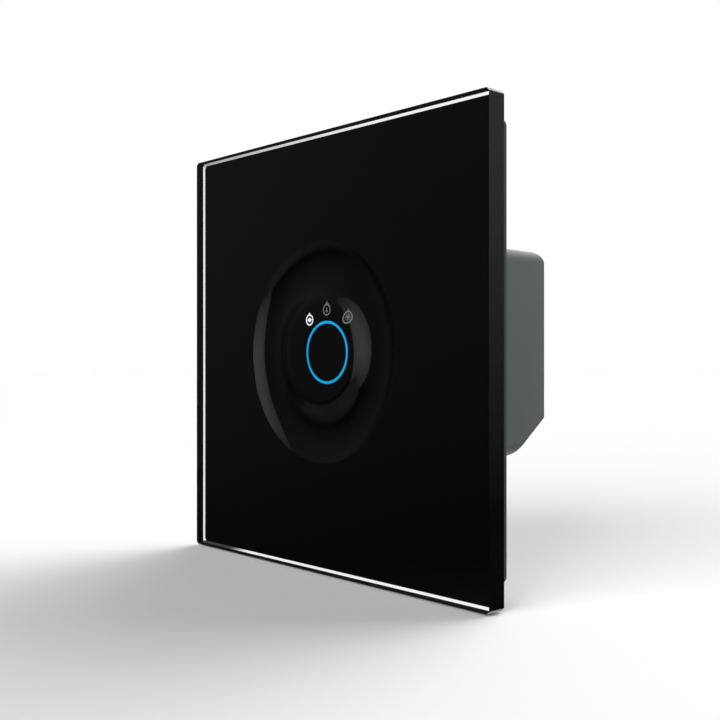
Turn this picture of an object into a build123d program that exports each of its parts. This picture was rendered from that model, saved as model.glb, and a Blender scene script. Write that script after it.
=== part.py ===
from build123d import *
from math import cos, radians, sin, tan
import os

# Wall controller for a colour LED strip: a glass touch panel that pulls off a base with screw terminals.
# Millimetres. The origin is the centre of the mounting plate's rear face, which lies on the wall.
# X points right, Y into the wall and Z up, so the glass faces -Y.

# Glass plate, with a round touch trough in its front
glass_size = 80.0
glass_thickness = 3.6
glass_corner_cut = 0.5
glass_rear_bevel = 0.1
trough_outer_r = 20.0
trough_inner_r = 9.6
trough_depth = 1.0
trough_rounding = 6.0

# Depths along Y
panel_depth = 8.0
base_depth = 32.0

# Film behind the glass, short of its edge all round, with a ring and three signs as windows in it
film_thickness = 0.1
film_side_border = 0.7
film_end_border = 0.52
ring_r = 5.77
ring_line = 0.5
sign_distance = 7.75
left_sign_turn = -38.7
right_sign_distance = 8.05
right_sign_turn = 41.3
sign_r = 1.05
sign_line = 0.25
sign_pip_width = 0.6
sign_pip_height = 0.42
mode_dot_r = 0.42
mode_bar_width = 0.16
level_bar_width = 0.18
level_bar_height = 0.95
level_bulb_r = 0.27
sign_dot_r = 0.25
sign_ray_count = 8
sign_ray_gap = 0.1
sign_ray_width = 0.17
sign_ray_length = 0.23

# Adhesive frame between film and carrier
tape_thickness = 0.25
tape_inset = 1.0
tape_width = 8.8

# Carrier frame behind the glass
frame_inset = 3.05
frame_corner_r = 1.2
frame_wall = 1.6
frame_web = 1.05
frame_wall_gap = 0.1
window_margin = 0.5
window_corner_r = 3.0
head_pocket_r = 4.5
peg_r = 1.8
peg_board_gap = 0.8
peg_z = 11.0
peg_reach = 3.0
peg_slot = 0.7
peg_slot_start = 1.5
peg_tip = 0.5
stake_offset = 0.8
stake_r = 0.7
stake_head_r = 1.2
stake_head = 0.5
stake_rounding = 0.3

# Light block and clear light guides
block_clearance = 0.2
ring_slot_margin = 0.3
guide_clearance = 0.05
guide_depth = 0.7
bridge_count = 3
bridge_width = 1.2
bridge_root = 0.1
cell_margin = 0.04

# Touch board and what is soldered to it
touch_board_edge = 1.3
touch_board_corner_r = 1.5
touch_board_thickness = 0.8
stake_hole_clearance = 0.06
pad_thickness = 0.1
pad_count = 8
pad_inset = 0.4
pad_width = 5.4
pad_gap = 0.6
lamp_length = 1.0
lamp_width = 0.6
lamp_height = 0.45
ring_lamp_count = 6
touch_chip_size = 5.0
touch_chip_height = 0.85
touch_chip_place = (-9.5, -8.0)
passive_length = 1.6
passive_width = 0.8
passive_height = 0.5
touch_passive_rows = 3
touch_passive_columns = 4
touch_passive_place = (8.5, -8.0)
passive_pitch_x = 3.0
passive_pitch_z = 2.2

# Plug between the panel and the base
contact_pitch = 2.54
contact_columns = 4
contact_rows = 2
plug_z = 8.0
pin_side = 0.64
pin_hole_side = 1.0
pin_engagement = 5.5
header_height = 2.5
socket_height = 8.5

# Steel mounting plate
plate_frame_gap = 0.8
plate_thickness = 1.0
plate_corner_r = 3.0
wall_screw_spacing = 60.0
wall_slot_length = 6.4
wall_slot_r = 1.9
peg_hole_clearance = 0.05
plate_housing_gap = 0.24
lug_width = 10.0
lug_length = 9.0
lug_bend_flat = 0.1
lug_tip_r = 1.2
lug_relief_width = 1.0
lug_relief_depth = 1.5
lug_screw_y = 5.0

# Rear housing, drafted towards its rear face
housing_width = 40.0
housing_height = 39.0
housing_draft = 0.8
housing_wall = 1.8
housing_corner_r = 2.8
housing_top_r = 2.4
slope_top_z = -12.5
slope_angle = 36.5
slope_blend_r = 7.0
cover_ledge = 0.8
post_r = 2.4
post_wall_gap = 0.4
post_edge = 3.4
post_terminal_gap = 0.6
landing_height = 9.0
landing_start = 1.0
screw_boss_r = 2.6
screw_boss_reach = 2.6
label_field_width = 31.0
label_field_height = 17.0
label_field_r = 1.2
label_field_z = 5.5
label_field_depth = 0.3
pole_sign_z = -7.0
pole_sign_size = 1.6
pole_sign_line = 0.4
pole_sign_depth = 0.3
pole_dot_r = 0.28
pole_dot_pitch = 0.85

# Cover in the housing's mouth, with four snap tabs
cover_thickness = 1.2
cover_recess = 0.2
cover_clearance = 0.15
cover_plug_clearance = 0.5
tab_width = 5.0
tab_thickness = 1.0
tab_length = 4.6
tab_x = 10.5
tab_wall_gap = 0.2
barb_reach = 1.0
barb_start = 2.4
barb_length = 1.4
barb_window_clearance = 0.2
vent_count = 5
vent_width = 1.2
vent_length = 16.0
vent_pitch = 3.0
vent_place = (0.0, -7.0)

# Self-tapping screws through the lugs and the power board
tap_screw_r = 1.0
tap_hole_clearance = 0.03
through_hole_clearance = 0.3
tap_screw_length = 7.0
tap_hole_spare = 1.0
lug_screw_head_r = 2.2
lug_screw_head = 1.3
board_screw_head_r = 2.0
board_screw_head = 1.2
cross_width = 0.6
cross_length = 2.2
cross_depth = 0.6

# Power board
power_board_y = 11.0
power_board_gap = 0.4
power_board_thickness = 1.6
power_board_corner_r = 2.0
power_board_margin = 1.0

# Screw terminals: six poles in three moulded blocks of two
pole_count = 6
poles_per_block = 2
pole_pitch = 5.08
screw_z = -12.0
terminal_housing_gap = 0.3
terminal_mouth_recess = 0.1
terminal_mouth_depth = 5.2
head_recess = 0.4
block_base = 1.2
wire_hole_r = 1.3
wire_funnel = 0.4
cage_width = 3.8
cage_depth = 4.4
cage_side_wall = 0.6
cage_floor = 0.8
cage_nut = 1.2
cage_side_gap = 0.2
cage_end_gap = 0.3
wire_space = 2.7
cage_travel = 2.4
bar_thickness = 1.0
bar_width = 2.0
bar_seat = 0.8
leg_side = 0.8
leg_clearance = 0.1
leg_wall = 0.35
leg_tail = 0.8
seat_wall = 1.0
clamp_screw_r = 1.25
clamp_screw_fit = 0.05
clamp_screw_lift = 0.1
clamp_tip_gap = 0.05
clamp_head_r = 1.9
clamp_head = 1.5
clamp_slot_width = 0.5
clamp_slot_depth = 0.7
chimney_clearance = 0.3
cutout_clearance = 0.2

# Parts on the power board, in three rows above the terminals
transistor_count = 3
transistor_gap = 0.9
transistor_foot_gap = 0.45
part_gap = 0.9
transistor_width = 6.6
transistor_length = 6.1
transistor_height = 2.3
tab_plate_width = 5.4
tab_plate_length = 5.7
tab_plate_reach = 1.1
tab_plate_thickness = 0.5
transistor_leg_width = 0.8
transistor_leg_length = 1.9
transistor_leg_root = 0.8
transistor_leg_thickness = 0.5
transistor_leg_spread = 2.28
capacitor_r = 3.8
capacitor_height = 11.0
capacitor_base = 0.8
sleeve_thickness = 0.25
sleeve_gap = 0.02
sleeve_lip = 0.5
coil_size = 7.0
coil_height = 4.0
coil_corner_cut = 1.4
regulator_length = 4.9
regulator_lead_count = 4
driver_length = 8.65
driver_lead_count = 7
chip_width = 3.9
chip_height = 1.5
chip_lead_pitch = 1.27
chip_lead_width = 0.42
chip_lead_reach = 1.05
chip_lead_thickness = 0.22
chip_lead_step = 0.45
fuse_size = (6.1, 2.6, 2.0)
diode_size = (4.6, 3.2, 2.2)
brick_chamfer = 0.2
power_passive_columns = 3
power_passive_rows = 2

# Sizes and places in the panel worked out from the sizes above
frame_size = glass_size - 2 * frame_inset
plate_size = frame_size - 2 * frame_wall - 2 * plate_frame_gap
window_size = 2 * (trough_outer_r + window_margin)
stake_place = window_size / 2 + stake_offset
touch_board_size = 2 * (stake_place + touch_board_edge)
peg_x = touch_board_size / 2 + peg_board_gap + peg_r
pad_outer_r = trough_outer_r - pad_inset
pad_inner_r = pad_outer_r - pad_width
ring_slot_outer_r = ring_r + ring_slot_margin
ring_slot_inner_r = ring_r - ring_line - ring_slot_margin
cell_r = sign_r + sign_pip_height / 2 + cell_margin
tap_hole_r = tap_screw_r + tap_hole_clearance
through_hole_r = tap_screw_r + through_hole_clearance

# Depths worked out from the sizes above
glass_front = -panel_depth
glass_rear = glass_front + glass_thickness
film_rear = glass_rear + film_thickness
web_front = film_rear + tape_thickness
web_rear = web_front + frame_web
frame_rear = -frame_wall_gap
touch_board_rear = web_rear + touch_board_thickness
plate_front = -plate_thickness
block_rear = web_rear - pad_thickness
guide_rear = film_rear + guide_depth
cover_front = plate_front + cover_recess
cover_rear = cover_front + cover_thickness
power_board_rear = power_board_y + power_board_thickness
socket_front = power_board_y - socket_height
pin_end = socket_front + pin_engagement
housing_inside_rear = base_depth - housing_wall
lug_inner_x = housing_width / 2 + (base_depth - plate_front) * tan(radians(housing_draft)) + plate_housing_gap

# Depths along one clamp, from the power board to the head of its screw
cavity_front = power_board_rear + block_base
cage_front = cavity_front + cage_end_gap
space_front = cage_front + cage_floor
bar_front = space_front + wire_space
bar_rear = bar_front + bar_thickness
nut_front = bar_rear + cage_end_gap
cage_rear = nut_front + cage_nut
cavity_rear = cage_rear + cage_travel + cage_end_gap
seat_rear = cavity_rear + seat_wall
clamp_head_front = seat_rear + clamp_screw_lift
clamp_head_rear = clamp_head_front + clamp_head
terminal_end = clamp_head_rear + head_recess
wire_y = space_front + wire_space / 2
cavity_low = screw_z - cage_depth / 2 - cage_end_gap
cavity_top = screw_z + cage_depth / 2 + cage_end_gap
terminal_low = -housing_height / 2 + terminal_mouth_recess
leg_z = cavity_top + leg_wall + leg_side / 2
terminal_top_z = leg_z + leg_side / 2 + leg_wall


def slab(outline, front, back):
    """Solid between two depths, from an outline in X and Z as seen from the front."""
    plane = Plane((0, back, 0), x_dir=(1, 0, 0), z_dir=(0, -1, 0))
    return extrude(plane * outline, back - front, dir=plane.z_dir)


def across(outline, left, right):
    """Solid between two X places, from an outline in Y and Z."""
    plane = Plane((left, 0, 0), x_dir=(0, 1, 0), z_dir=(1, 0, 0))
    return extrude(plane * outline, right - left, dir=plane.z_dir)


def upright(outline, low, high):
    """Solid between two heights, from an outline in X and Y."""
    plane = Plane((0, 0, low), x_dir=(1, 0, 0), z_dir=(0, 0, 1))
    return extrude(plane * outline, high - low, dir=plane.z_dir)


def square(size, corner_r):
    """Square outline with rounded corners."""
    return RectangleRounded(size, size, corner_r)


def four_corners(x, z):
    """The four places that mirror one place about X and Z."""
    return [(x, z), (-x, z), (x, -z), (-x, -z)]


def polar(radius, degrees_from_top):
    """Place at an angle from straight up, clockwise as seen from the front."""
    turn = radians(degrees_from_top)
    return (radius * sin(turn), radius * cos(turn))


def grid_places(columns, rows, pitch_x, pitch_z, centre):
    """Places of a grid about its centre."""
    places = []
    for column in range(columns):
        for row in range(rows):
            x = centre[0] + (column - (columns - 1) / 2) * pitch_x
            z = centre[1] + (row - (rows - 1) / 2) * pitch_z
            places.append((x, z))
    return places


def save(name, *shapes):
    """Write one named piece, as one solid or as a group of separate solids."""
    solids = [solid for shape in shapes for solid in shape.solids()]
    whole = solids[0] if len(solids) == 1 else Compound(solids)
    export_step(whole, f"parts/{name}.step")


# Glass panel: square plate with cut corners, a bevelled rear edge and the round trough

def trough_cutter():
    """Round channel with a circular section that runs out at both rims."""
    outer = (trough_outer_r, 0)
    middle = ((trough_outer_r + trough_inner_r) / 2, trough_depth)
    inner = (trough_inner_r, 0)
    section = make_face(ThreePointArc(outer, middle, inner) + Line(inner, outer))
    return revolve(Plane((0, glass_front, 0), x_dir=(1, 0, 0), z_dir=(0, 0, 1)) * section, Axis.Y)


def glass_panel():
    outline = chamfer(Rectangle(glass_size, glass_size).vertices(), glass_corner_cut)
    plate = slab(outline, glass_front, glass_rear)
    rear_edges = plate.faces().sort_by(Axis.Y)[-1].edges()
    plate = chamfer(rear_edges, glass_rear_bevel)
    plate -= trough_cutter()
    rims = plate.edges().filter_by(GeomType.CIRCLE).group_by(Axis.Y)[0]
    return fillet(rims.sort_by(SortBy.RADIUS)[0], trough_rounding)


# Film and its windows: blue ring, and three small ringed signs above it

def ring_outline():
    return Circle(ring_r) - Circle(ring_r - ring_line)


def sign_frame():
    """Small ring with a pointed pip on top."""
    pip_foot = sign_r - sign_line
    pip = Polygon(
        (-sign_pip_width / 2, pip_foot),
        (sign_pip_width / 2, pip_foot),
        (0, sign_r + sign_pip_height),
        align=None,
    )
    return Circle(sign_r) + pip - Circle(sign_r - sign_line)


def mode_mark():
    """Dot on a thin bar, which leaves two dark arcs in the sign's ring."""
    return Circle(mode_dot_r) + Rectangle(2 * sign_r - sign_line, mode_bar_width)


def level_mark():
    """Upright bar on a small bulb."""
    bulb = Pos(0, level_bulb_r - level_bar_height / 2) * Circle(level_bulb_r)
    return Rectangle(level_bar_width, level_bar_height) + bulb


def light_mark():
    """Dot with rays round it."""
    mark = Circle(sign_dot_r)
    for ray in range(sign_ray_count):
        turn = 360 * ray / sign_ray_count
        place = polar(sign_dot_r + sign_ray_gap + sign_ray_length / 2, turn)
        mark += Pos(*place) * Rot(0, 0, -turn) * Rectangle(sign_ray_width, sign_ray_length)
    return mark


def sign_places():
    """Centres of the left, top and right sign."""
    left = polar(sign_distance, left_sign_turn)
    top = polar(sign_distance, 0)
    right = polar(right_sign_distance, right_sign_turn)
    return [left, top, right]


def cell_places():
    """Centres of the light cells behind the signs, whose pips make them taller upwards."""
    return [(x, z + sign_pip_height / 2) for x, z in sign_places()]


def film_windows():
    """Every window in the film, by the name of its piece."""
    left, top, right = sign_places()
    return {
        "ring_window": ring_outline(),
        "sign_window_left": Pos(*left) * (sign_frame() + mode_mark()),
        "sign_window_top": Pos(*top) * (sign_frame() + level_mark()),
        "sign_window_right": Pos(*right) * (sign_frame() + light_mark()),
    }


def mask_film(windows):
    width = glass_size - 2 * film_side_border
    height = glass_size - 2 * film_end_border
    outline = chamfer(Rectangle(width, height).vertices(), glass_corner_cut)
    for window in windows.values():
        outline -= window
    return slab(outline, glass_rear, film_rear)


# Adhesive frame, open over the heads of the wall screws

def wall_screw_places():
    reach = wall_screw_spacing / 2
    return [(reach, 0), (-reach, 0), (0, reach), (0, -reach)]


def head_pockets():
    return Sketch() + [Pos(*place) * Circle(head_pocket_r) for place in wall_screw_places()]


def panel_tape():
    outer = frame_size - 2 * tape_inset
    inner = outer - 2 * tape_width
    outline = Rectangle(outer, outer) - Rectangle(inner, inner) - head_pockets()
    return slab(outline, film_rear, web_front)


# Carrier frame: a web with a square window, a rim, four split pegs and four melted stakes

def friction_peg(x, z):
    shank = slab(Pos(x, z) * Circle(peg_r), web_rear, peg_reach)
    tip = shank.faces().sort_by(Axis.Y)[-1].edges()
    shank = chamfer(tip, peg_tip)
    slot_outline = Pos(x, z) * Rectangle(peg_slot, 2 * peg_r + peg_slot)
    slot = slab(slot_outline, web_rear + peg_slot_start, peg_reach)
    return shank - slot


def melted_stake(x, z):
    shank = slab(Pos(x, z) * Circle(stake_r), web_rear, touch_board_rear)
    head = slab(Pos(x, z) * Circle(stake_head_r), touch_board_rear, touch_board_rear + stake_head)
    crown = head.faces().sort_by(Axis.Y)[-1].edges()
    return shank + fillet(crown, stake_rounding)


def panel_frame():
    outer = square(frame_size, frame_corner_r)
    inner = square(frame_size - 2 * frame_wall, frame_corner_r)
    frame = slab(outer, web_front, frame_rear) - slab(inner, web_rear, frame_rear)
    window = square(window_size, window_corner_r)
    frame -= slab(window + head_pockets(), web_front, web_rear)
    for x, z in four_corners(peg_x, peg_z):
        frame += friction_peg(x, z)
    for x, z in four_corners(stake_place, stake_place):
        frame += melted_stake(x, z)
    return frame


# Light block: white, with a ring slot, its bridges and a cell for each sign

def bridges():
    """Thin spokes behind the ring slot that carry the middle of the block."""
    spokes = Sketch()
    for spoke in range(bridge_count):
        turn = 360 * (spoke + 0.5) / bridge_count
        place = polar((ring_slot_inner_r + ring_slot_outer_r) / 2, turn)
        length = ring_slot_outer_r - ring_slot_inner_r + 2 * bridge_root
        spokes += Pos(*place) * Rot(0, 0, -turn) * Rectangle(bridge_width, length)
    return spokes


def light_block():
    size = window_size - 2 * block_clearance
    block = slab(square(size, window_corner_r - block_clearance), film_rear, block_rear)
    ring_slot = Circle(ring_slot_outer_r) - Circle(ring_slot_inner_r)
    block -= slab(ring_slot, film_rear, guide_rear)
    block -= slab(ring_slot - bridges(), guide_rear, block_rear)
    for place in cell_places():
        block -= slab(Pos(*place) * Circle(cell_r), film_rear, block_rear)
    return block


def ring_light_guide():
    outline = Circle(ring_slot_outer_r - guide_clearance) - Circle(ring_slot_inner_r + guide_clearance)
    return slab(outline, film_rear, guide_rear)


def sign_light_guides():
    outline = Circle(cell_r - guide_clearance)
    return [slab(Pos(*place) * outline, film_rear, guide_rear) for place in cell_places()]


# Touch board with pads, lamps, chip and small parts

def touch_board():
    outline = square(touch_board_size, touch_board_corner_r)
    for place in four_corners(stake_place, stake_place):
        outline -= Pos(*place) * Circle(stake_r + stake_hole_clearance)
    return slab(outline, web_rear, touch_board_rear)


def touch_pads():
    """Copper arcs under the trough, one for each eighth of the turn."""
    ring = Circle(pad_outer_r) - Circle(pad_inner_r)
    for pad in range(pad_count):
        turn = 360 * pad / pad_count
        middle = polar((pad_inner_r + pad_outer_r) / 2, turn)
        ring -= Pos(*middle) * Rot(0, 0, -turn) * Rectangle(pad_gap, pad_width + pad_gap)
    return slab(ring, block_rear, web_rear)


def lamp(place, turn):
    outline = Pos(*place) * Rot(0, 0, -turn) * Rectangle(lamp_length, lamp_width)
    return slab(outline, web_rear - lamp_height, web_rear)


def ring_leds():
    """Lamps along the ring slot, half a step off straight up and so clear of its bridges."""
    middle = (ring_slot_inner_r + ring_slot_outer_r) / 2
    turns = [360 * (number + 0.5) / ring_lamp_count for number in range(ring_lamp_count)]
    return [lamp(polar(middle, turn), turn) for turn in turns]


def sign_leds():
    return [lamp(place, 0) for place in cell_places()]


def passives(places, front):
    """Chip resistors and capacitors standing on a face that looks towards +Y."""
    outline = Rectangle(passive_length, passive_width)
    return [slab(Pos(*place) * outline, front, front + passive_height) for place in places]


def touch_chip():
    outline = Pos(*touch_chip_place) * Rectangle(touch_chip_size, touch_chip_size)
    return slab(outline, touch_board_rear, touch_board_rear + touch_chip_height)


# Plug: pin header on the touch board, socket on the power board

def contact_places():
    return grid_places(contact_columns, contact_rows, contact_pitch, contact_pitch, (0, plug_z))


def contact_holes(side):
    return Sketch() + [Pos(*place) * Rectangle(side, side) for place in contact_places()]


def plug_outline():
    return Pos(0, plug_z) * Rectangle(contact_columns * contact_pitch, contact_rows * contact_pitch)


def header_base():
    return slab(plug_outline() - contact_holes(pin_side), touch_board_rear, touch_board_rear + header_height)


def header_pins():
    return slab(contact_holes(pin_side), touch_board_rear, pin_end)


def header_socket():
    return slab(plug_outline() - contact_holes(pin_hole_side), socket_front, power_board_y)


# Rear housing: drafted shell with a sloped lower rear, posts, screw bosses and terminal openings

def draft_growth(y):
    """How far a drafted wall stands out, at one depth, past its place at the rear face."""
    return (base_depth - y) * tan(radians(housing_draft))


def half_height(y):
    """Half the height of the housing's outside at one depth."""
    return housing_height / 2 + draft_growth(y)


def half_width(y):
    """Half the width of the housing's outside at one depth."""
    return housing_width / 2 + draft_growth(y)


def board_half_height():
    """Half the height of the power board, which stands inside the housing's walls."""
    return half_height(power_board_rear) - housing_wall - power_board_gap


def mouth_outline(inset):
    """Outline of the housing's mouth in X and Z, drawn in by an inset."""
    width = 2 * (half_width(plate_front) - inset)
    height = 2 * (half_height(plate_front) - inset)
    return RectangleRounded(width, height, housing_corner_r - inset)


def housing_prism(inset):
    """Drafted block with rounded long edges, drawn in by an inset."""
    plane = Plane((0, plate_front, 0), x_dir=(-1, 0, 0), z_dir=(0, 1, 0))
    return extrude(plane * mouth_outline(inset), base_depth - inset - plate_front, taper=housing_draft)


def top_rear_waste(inset):
    """Outline in Y and Z of what the rounding takes off the upper rear edge."""
    radius = housing_top_r - inset
    rear = base_depth - inset
    top = half_height(base_depth - housing_top_r) - inset
    beyond = housing_top_r
    rounding = RadiusArc((rear - radius, top), (rear, top - radius), radius)
    box = Polyline(
        (rear, top - radius),
        (rear + beyond, top - radius),
        (rear + beyond, top + beyond),
        (rear - radius, top + beyond),
        (rear - radius, top),
    )
    return make_face(rounding + box)


def slope_waste(inset):
    """Outline in Y and Z of what the slope and its blend take off the lower rear."""
    slope = radians(slope_angle)
    draft = tan(radians(housing_draft))
    along = Vector(cos(slope), sin(slope))
    start = Vector(base_depth, slope_top_z) + inset * Vector(-sin(slope), cos(slope))
    drop = start.Y + half_height(start.X) - inset
    corner = start - along * (drop / (sin(slope) - draft * cos(slope)))
    underside = Vector(1, draft).normalized()
    tangent = (slope_blend_r - inset) * tan((slope - radians(housing_draft)) / 2)
    blend_start = corner - underside * tangent
    blend_end = corner + along * tangent
    end = start + along * housing_wall * 2
    beyond = -housing_height
    blend = TangentArc(blend_start, blend_end, tangent=underside)
    box = Polyline(blend_end, end, (end.X, beyond), (blend_start.X, beyond), blend_start)
    return make_face(blend + box)


def housing_body(inset):
    """Outer shape of the housing, or with an inset the shape of its hollow."""
    reach = housing_width
    body = housing_prism(inset)
    body -= across(top_rear_waste(inset), -reach, reach)
    return body - across(slope_waste(inset), -reach, reach)


def pole_places():
    return [(number - (pole_count - 1) / 2) * pole_pitch for number in range(pole_count)]


def post_places():
    """Four posts that carry the power board: beside the side walls, and above the terminals."""
    x = half_width(housing_inside_rear) - housing_wall - post_wall_gap - post_r
    top_z = board_half_height() - post_edge
    low_z = terminal_top_z + post_terminal_gap + post_r
    return [(side * x, z) for side in (-1, 1) for z in (top_z, low_z)]


def tab_places():
    return [(side * tab_x, up) for side in (-1, 1) for up in (-1, 1)]


def barb_window(x, up):
    """Opening in the upper or lower wall for one snap barb."""
    width = tab_width + 2 * barb_window_clearance
    start = cover_rear + barb_start - barb_window_clearance
    end = cover_rear + barb_start + barb_length + barb_window_clearance
    middle = up * (half_height(start) - housing_wall / 2)
    return slab(Pos(x, middle) * Rectangle(width, 2 * housing_wall), start, end)


def terminal_opening():
    """Opening in the underside for the mouths of the terminal blocks."""
    half = pole_count * pole_pitch / 2 + cutout_clearance
    outline = Pos(0, wire_y) * Rectangle(2 * half, terminal_mouth_depth + 2 * cutout_clearance)
    return upright(outline, -housing_height, cavity_low)


def plus_sign():
    upright_bar = Rectangle(pole_sign_line, pole_sign_size)
    return upright_bar + Rectangle(pole_sign_size, pole_sign_line)


def dot_sign(count):
    """Row of dots, one for each colour of the strip in turn."""
    first = -(count - 1) / 2 * pole_dot_pitch
    return Sketch() + [Pos(first + dot * pole_dot_pitch) * Circle(pole_dot_r) for dot in range(count)]


def rear_face_marks():
    """Sunk field for a label, and over each pole a sunk sign: supply plus and minus, strip plus, colours."""
    field = RectangleRounded(label_field_width, label_field_height, label_field_r)
    start = base_depth - label_field_depth
    marks = [slab(Pos(0, label_field_z) * field, start, base_depth)]
    minus = Rectangle(pole_sign_size, pole_sign_line)
    signs = [plus_sign(), minus, plus_sign(), dot_sign(1), dot_sign(2), dot_sign(3)]
    for x, sign in zip(pole_places(), signs):
        marks.append(slab(Pos(x, pole_sign_z) * sign, base_depth - pole_sign_depth, base_depth))
    return marks


def side_boss():
    """Round boss inside the right wall and square landing outside it, for a lug screw."""
    wall_middle = half_width(lug_screw_y) - housing_wall / 2
    boss_inner_x = wall_middle - housing_wall / 2 - screw_boss_reach
    boss = across(Pos(lug_screw_y, 0) * Circle(screw_boss_r), boss_inner_x, wall_middle)
    landing = Pos((landing_start + lug_length) / 2, 0) * Rectangle(lug_length - landing_start, landing_height)
    return boss + across(landing, wall_middle, lug_inner_x)


def side_boss_hole():
    """Hole along X through the right wall, its boss and its landing."""
    inner_x = half_width(lug_screw_y) - housing_wall - screw_boss_reach
    return across(Pos(lug_screw_y, 0) * Circle(tap_hole_r), inner_x, lug_inner_x)

def rear_housing():
    shell = housing_body(0) - housing_body(housing_wall)
    shell -= slab(mouth_outline(housing_wall - cover_ledge), plate_front, cover_rear)
    for x, z in post_places():
        shell += slab(Pos(x, z) * Circle(post_r), power_board_rear, housing_inside_rear + housing_wall / 2)
        hole_end = power_board_y + tap_screw_length + tap_hole_spare
        shell -= slab(Pos(x, z) * Circle(tap_hole_r), power_board_rear, hole_end)
    shell += [side_boss(), side_boss().mirror(Plane.YZ)]
    shell -= [side_boss_hole(), side_boss_hole().mirror(Plane.YZ)]
    for x, up in tab_places():
        shell -= barb_window(x, up)
    shell -= terminal_opening()
    for x in pole_places():
        shell -= slab(Pos(x, screw_z) * Circle(clamp_head_r + chimney_clearance), terminal_end, base_depth)
    return shell - rear_face_marks()


# Mounting plate: flat steel with slots for the wall screws, peg holes and two bent lugs

def slot(x, z):
    """Slot that runs away from the plate's middle, centred on its place."""
    turn = 0 if z == 0 else 90
    return Pos(x, z) * Rot(0, 0, turn) * SlotOverall(wall_slot_length, 2 * wall_slot_r)


def side_lug():
    """Lug bent back from the right side of the plate's opening, with a rounded outer bend."""
    outer_x = lug_inner_x + plate_thickness
    blank = Pos(lug_inner_x + plate_thickness / 2, 0) * Rectangle(plate_thickness, lug_width)
    lug = slab(blank, plate_front, lug_length)
    bend = lug.edges().filter_by(Axis.Z).group_by(Axis.Y)[0].sort_by(Axis.X)[0]
    lug = fillet(bend, plate_thickness - lug_bend_flat)
    tip = lug.edges().filter_by(Axis.X).group_by(Axis.Y)[-1]
    lug = fillet(tip, lug_tip_r)
    return lug - across(Pos(lug_screw_y, 0) * Circle(through_hole_r), lug_inner_x, outer_x)


def mounting_plate():
    opening_z = 2 * (half_height(plate_front) + plate_housing_gap)
    outline = square(plate_size, plate_corner_r)
    outline -= RectangleRounded(2 * lug_inner_x, opening_z, housing_corner_r)
    for side in (-1, 1):
        for up in (-1, 1):
            notch_x = side * (lug_inner_x + lug_relief_depth / 2)
            notch_z = up * (lug_width + lug_relief_width) / 2
            outline -= Pos(notch_x, notch_z) * Rectangle(lug_relief_depth, lug_relief_width)
    for place in four_corners(peg_x, peg_z):
        outline -= Pos(*place) * Circle(peg_r + peg_hole_clearance)
    for place in wall_screw_places():
        outline -= slot(*place)
    bend_x = lug_inner_x + plate_thickness / 2
    for x in (-bend_x, bend_x):
        outline -= Pos(x, 0) * Rectangle(plate_thickness, lug_width)
    return slab(outline, plate_front, 0) + [side_lug(), side_lug().mirror(Plane.YZ)]


# Cover in the housing's mouth, with the plug's opening, vents and snap tabs

def snap_tab(x, up):
    """Springy tab along the housing's wall, with a barb in the wall's window."""
    end = cover_rear + tab_length
    outer = half_height(end) - housing_wall - tab_wall_gap
    blade_outline = Pos(x, up * (outer - tab_thickness / 2)) * Rectangle(tab_width, tab_thickness)
    blade = slab(blade_outline, cover_rear, end)
    barb_front = cover_rear + barb_start
    hook = Polygon(
        (barb_front, up * outer),
        (barb_front, up * (outer + barb_reach)),
        (barb_front + barb_length, up * outer),
        align=None,
    )
    return blade + across(hook, x - tab_width / 2, x + tab_width / 2)


def front_cover():
    outline = mouth_outline(housing_wall - cover_ledge + cover_clearance)
    width = contact_columns * contact_pitch + 2 * cover_plug_clearance
    height = contact_rows * contact_pitch + 2 * cover_plug_clearance
    outline -= Pos(0, plug_z) * Rectangle(width, height)
    for place in grid_places(1, vent_count, 0, vent_pitch, vent_place):
        outline -= Pos(*place) * SlotOverall(vent_length, vent_width)
    cover = slab(outline, cover_front, cover_rear)
    for x, up in tab_places():
        cover += snap_tab(x, up)
    return cover


# Self-tapping screws: through the lugs into the housing, and through the power board into its posts

def cross_cut():
    return Rectangle(cross_length, cross_width) + Rectangle(cross_width, cross_length)


def housing_screws():
    """Two screws along X, each with its head on the outside of a lug."""
    axis_place = Pos(lug_screw_y, 0)
    head_start = lug_inner_x + plate_thickness
    head_end = head_start + lug_screw_head
    shank_end = head_start - tap_screw_length
    screw = across(axis_place * Circle(lug_screw_head_r), head_start, head_end)
    screw = fillet(screw.edges().sort_by(Axis.X)[-1], lug_screw_head / 2)
    screw += across(axis_place * Circle(tap_screw_r), shank_end, head_start)
    screw -= across(axis_place * cross_cut(), head_end - cross_depth, head_end)
    return [screw, screw.mirror(Plane.YZ)]


def board_screws():
    screws = []
    head_front = power_board_y - board_screw_head
    for x, z in post_places():
        head = slab(Pos(x, z) * Circle(board_screw_head_r), head_front, power_board_y)
        head = fillet(head.edges().sort_by(Axis.Y)[0], board_screw_head / 2)
        shank = slab(Pos(x, z) * Circle(tap_screw_r), power_board_y, power_board_y + tap_screw_length)
        recess = slab(Pos(x, z) * cross_cut(), head_front, head_front + cross_depth)
        screws.append(head + shank - recess)
    return screws


# Power board, with holes for its screws and for the legs of the terminals

def power_board():
    width = 2 * (half_width(power_board_rear) - housing_wall - power_board_gap)
    outline = RectangleRounded(width, 2 * board_half_height(), power_board_corner_r)
    for place in post_places():
        outline -= Pos(*place) * Circle(through_hole_r)
    side = leg_side + 2 * leg_clearance
    for x in pole_places():
        outline -= Pos(x, leg_z) * Rectangle(side, side)
    return slab(outline, power_board_y, power_board_rear)


# Terminal blocks: each pole has a cavity for its cage, a wire hole below and a chimney for its screw

def between_depths(x, width, front, rear, low, high):
    """Box centred on one X place."""
    outline = Pos(x, (low + high) / 2) * Rectangle(width, high - low)
    return slab(outline, front, rear)


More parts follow.
